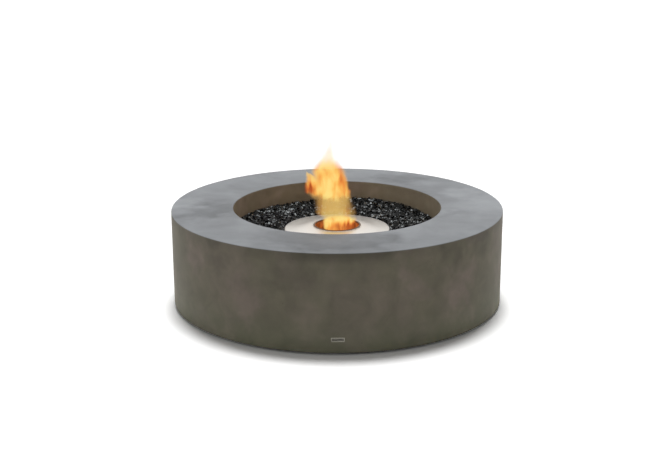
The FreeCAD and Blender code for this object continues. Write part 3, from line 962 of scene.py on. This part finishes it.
class FIRETABLE_OT_hidden_parts(bpy.types.Operator):
    """Gives the tray, the tank and the other inner parts their finishes"""

    bl_idname = "fire_table.hidden_parts"
    bl_label = "Inner Parts and Feet"

    def execute(self, context):
        steel = context.scene.fire_table_burner.steel_colour
        coating, plating = coated_sheet(), plated_steel()
        fibre, rubber = pressed_fibre(), sole_rubber()
        drawn = turned_steel("drawn_steel", steel, rough=0.34)
        finishes = {
            "tray_pan": coating,
            "tray_well": coating,
            "burner_tank": scorched_steel_with_painted_glow(
                "tank_steel", steel, scorch=(0.34, 0.20, 0.12), rim_colour=steel, reach=PLATE_HIGH.x),
            "burner_jacket": drawn,
            "burner_spacers": drawn,
            "burner_gasket": fibre,
            "ledge_pads": fibre,
            "foot_sockets": plating,
        }
        for number in range(1, 5):
            finishes[f"foot_{number}_base"] = plating
            finishes[f"foot_{number}_screw"] = plating
            finishes[f"foot_{number}_sole"] = rubber
        for node, material in finishes.items():
            dress(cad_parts[node], material)
        return {"FINISHED"}


# Stage


# Each tongue of the flame, in metres: height over its base, place of its centre line, and half width
MAIN_TONGUE = (
    (0.000, 0.004, 0.047), (0.014, 0.004, 0.050), (0.034, 0.005, 0.055), (0.052, -0.007, 0.065),
    (0.096, -0.009, 0.064), (0.112, -0.012, 0.058), (0.137, -0.016, 0.054), (0.157, -0.019, 0.055),
    (0.178, -0.026, 0.057), (0.192, -0.028, 0.052), (0.206, -0.029, 0.042), (0.226, -0.027, 0.027),
    (0.250, -0.025, 0.018), (0.280, -0.024, 0.004),
)
SIDE_TONGUE = (
    (0.090, -0.066, 0.001), (0.102, -0.069, 0.018), (0.116, -0.072, 0.028), (0.134, -0.073, 0.029),
    (0.150, -0.073, 0.025), (0.162, -0.077, 0.019), (0.172, -0.086, 0.010), (0.180, -0.092, 0.001),
)


def flame_finish(settings, base):
    """A flame as a glowing volume, frayed at its edges, streaked upwards, and thin and smoky low down."""
    finish = Finish("flame")
    finish.material.cycles.volume_step_rate = 0.15
    rise = (finish.up - base) / settings.height
    tall, upright = finish.stretched((1.0, 0.35, 0.26)), finish.stretched((1.0, 0.5, 0.60))
    streaks = finish.noise(46.0, detail=5.0, roughness=0.62, distortion=0.7, place=tall)
    curls = finish.noise(30.0, detail=4.0, roughness=0.6, distortion=0.4, place=upright)
    ripple = (curls - 0.5) * (0.016 + rise * 0.028)

    def tongue(outline):
        """How far a point lies from a tongue's centre line: 0 on the line and 1 at the tongue's edge."""
        def at_height(column):
            """A column of the outline. A ramp holds 0 to 1, so it carries 0.5 and four times the metres."""
            stops = [(point[0] / settings.height, (0.5 + 4 * point[column],) * 3) for point in outline]
            return (finish.node("ShaderNodeValToRGB", {"stops": stops}, {0: rise}) - 0.5) * 0.25
        aside = finish.across + ripple - at_height(1)
        deep = finish.along * 1.15
        return (aside * aside + deep * deep).maths("SQRT") / at_height(2)

    fraying = (curls - 0.5) * (0.7 - rise * 0.45)
    distance = tongue(MAIN_TONGUE).maths("SMOOTH_MIN", tongue(SIDE_TONGUE), 0.5) + fraying
    body = 1 - distance.rise(0.70 - rise * 0.52, 1.0)

    # Going up: cooler in the mouth, nearly clear over it, smoky above that, and then full
    mouth = (1 - rise.rise(0.05, 0.11)) * (0.22 + finish.across * 9.0)
    clear = rise.rise(0.09, 0.13) * (1 - rise.rise(0.165, 0.20))
    haze_end = 1 - (rise + (curls - 0.5) * 0.30).rise(0.35, 0.41)
    smoky = rise.rise(0.160, 0.20) * haze_end

    # Heat is colour: cooler towards the edges, the side tongue and the top, and uneven in streaks and curls
    lobe = (1 - finish.across.rise(-0.078, -0.054)) * (1 - rise.rise(0.44, 0.56)) * 0.6
    cooling = distance * (0.66 - rise * 0.40) + rise * 0.22
    flicker = (streaks - 0.5) * (3.0 - rise * 1.7) + (curls - 0.5) * 1.6
    heat = 1.06 - cooling + flicker + clear * 0.3 - mouth - lobe
    colour = finish.node("ShaderNodeValToRGB", {"stops": [
        (0.08, settings.rim_colour), (0.34, settings.edge_colour), (0.62, settings.body_colour),
        (0.95, settings.core_colour)]}, {0: heat})
    colour = finish.mix(smoky * (0.45 + streaks * 0.6), colour, settings.low_colour)

    # It glows as much as it hides, so what is behind shows through where it is thin
    tip = 1 - rise.rise(0.50, 0.80) * 0.84
    thickness = (1 - smoky * 0.84) * (1 - clear * 0.93) * tip
    amount = body * (0.5 + streaks.rise(0.3, 0.6) * 0.5) * thickness * 150.0
    glow = finish.node("ShaderNodeEmission", inputs={"Color": colour, "Strength": amount})
    smoke = finish.node("ShaderNodeVolumeAbsorption", inputs={"Color": (0, 0, 0, 1), "Density": amount})
    both = finish.node("ShaderNodeAddShader", inputs={0: glow, 1: smoke})
    finish.tree.nodes.remove(finish.shader)
    finish.tree.links.new(both.socket, finish.tree.nodes["Material Output"].inputs["Volume"])
    return finish.material


class FIRETABLE_OT_flame(bpy.types.Operator):
    """Lights the flame, as part of the stage"""

    bl_idname = "fire_table.flame"
    bl_label = "Flame"

    def execute(self, context):
        settings = context.scene.fire_table_flame
        mouth_radius = context.scene.fire_table_burner.mouth_radius
        depth_in_mouth, clearance = 0.014, 0.002
        base = RING_HIGH.z - depth_in_mouth
        flame = begin("flame", bpy.ops.mesh.primitive_circle_add, vertices=32,
                      radius=mouth_radius - clearance, location=(0, 0, base), fill_type="NGON")
        for rise, share in ((0.015, 1.0), (0.030, 1.25), (0.060, 1.45), (settings.height - 0.105, 1.0)):
            bpy.ops.mesh.extrude_region_move(TRANSFORM_OT_translate={"value": (0, 0, rise)})
            bpy.ops.transform.resize(value=(share, share, 1), center_override=(0, 0, base))
        finish_mesh(flame)
        dress(flame, flame_finish(settings, base))
        flame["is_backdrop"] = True
        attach(flame, "burner")
        return {"FINISHED"}


# Each lamp: name, strength, spread and tilt about X, Y and Z in degrees, and whether it glints in steel
LAMPS = (
    ("overhead", 2.66, 15, (-12.5, 0, 0), False),
    ("front_fill", 0.46, 50, (88, 0, 0), True),
    ("left_side", 0.46, 60, (0, -84, 0), True),
    ("right_side", 0.22, 60, (0, 84, 0), True),
)

# How bright the floor and the world are for what they light, and as they are seen
FLOOR_LIGHT, FLOOR_SEEN = (0.48, 0.48, 0.48), (1.16, 1.16, 1.16)
WORLD_LIGHT, WORLD_SEEN = 0.15, 1.0
FLOOR_RADIUS = 40


class FIRETABLE_OT_stage(bpy.types.Operator):
    """Sets the floor, the lamps, the world and the camera"""

    bl_idname = "fire_table.stage"
    bl_label = "Stage"

    def execute(self, context):
        self.floor()
        self.world(context)
        self.lamps()
        self.camera(context)
        context.scene.view_settings.view_transform = "Standard"
        return {"FINISHED"}

    def floor(self):
        floor = begin("studio_floor", bpy.ops.mesh.primitive_circle_add, vertices=96, radius=FLOOR_RADIUS,
                      fill_type="NGON")
        bpy.ops.object.mode_set(mode="OBJECT")
        finish = Finish("studio_floor", Roughness=1.0, Specular_IOR_Level=0.0)
        colour = finish.mix(finish.seen_by_eye(), FLOOR_LIGHT, FLOOR_SEEN)
        dress(floor, finish.set(Base_Color=colour))
        floor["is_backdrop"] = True

    def world(self, context):
        world = bpy.data.worlds.new("studio")
        world.use_nodes = True
        context.scene.world = world
        sky = Nodes(world.node_tree)
        strength = sky.seen_by_eye() * (WORLD_SEEN - WORLD_LIGHT) + WORLD_LIGHT
        background = sky.tree.nodes["Background"]
        background.inputs["Color"].default_value = (1, 1, 1, 1)
        sky.tree.links.new(strength.socket, background.inputs["Strength"])

    def lamps(self):
        for name, strength, spread, tilt, glints in LAMPS:
            turns = [math.radians(turn) for turn in tilt]
            bpy.ops.object.light_add(type="SUN", location=(0, 0, 3), rotation=turns)
            lamp = bpy.context.object
            lamp.name = name
            lamp.data.energy = strength
            lamp.data.angle = math.radians(spread)
            lamp.visible_glossy = glints

    def camera(self, context):
        settings = context.scene.fire_table_stage
        bpy.ops.object.camera_add(
            location=(0, -settings.camera_distance, settings.camera_height),
            rotation=(math.pi / 2 - settings.camera_pitch, settings.camera_roll, settings.camera_turn))
        camera = bpy.context.object
        camera.data.sensor_width = 36
        camera.data.lens = settings.focal_length
        context.scene.camera = camera


OPERATORS = (
    FIRETABLE_OT_concrete_body,
    FIRETABLE_OT_bare_plate,
    FIRETABLE_OT_crushed_glass,
    FIRETABLE_OT_burner,
    FIRETABLE_OT_hidden_parts,
    FIRETABLE_OT_flame,
    FIRETABLE_OT_stage,
)


class FIRETABLE_PT_panel(bpy.types.Panel):
    """Lists the steps that build the fire table"""

    bl_idname = "FIRETABLE_PT_panel"
    bl_label = "Fire Table"
    bl_space_type = "VIEW_3D"
    bl_region_type = "UI"
    bl_category = "Fire Table"

    def draw(self, context):
        for operator in OPERATORS:
            self.layout.operator(operator.bl_idname)


def register():
    for group in SETTINGS.values():
        bpy.utils.register_class(group)
    for name, group in SETTINGS.items():
        setattr(bpy.types.Scene, name, PointerProperty(type=group))
    for operator in OPERATORS:
        bpy.utils.register_class(operator)
    bpy.utils.register_class(FIRETABLE_PT_panel)


def unregister():
    bpy.utils.unregister_class(FIRETABLE_PT_panel)
    for operator in reversed(OPERATORS):
        bpy.utils.unregister_class(operator)
    for name in SETTINGS:
        delattr(bpy.types.Scene, name)
    for group in SETTINGS.values():
        bpy.utils.unregister_class(group)


def main():
    register()
    bpy.ops.fire_table.concrete_body()
    bpy.ops.fire_table.bare_plate()
    bpy.ops.fire_table.crushed_glass()
    bpy.ops.fire_table.burner()
    bpy.ops.fire_table.hidden_parts()
    bpy.ops.fire_table.flame()
    bpy.ops.fire_table.stage()
    boxes = {"cad": CAD_BOX, "visual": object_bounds()}
    sizes = {name: [list(corner) for corner in box] for name, box in boxes.items()}


if __name__ == "__main__":
    main()
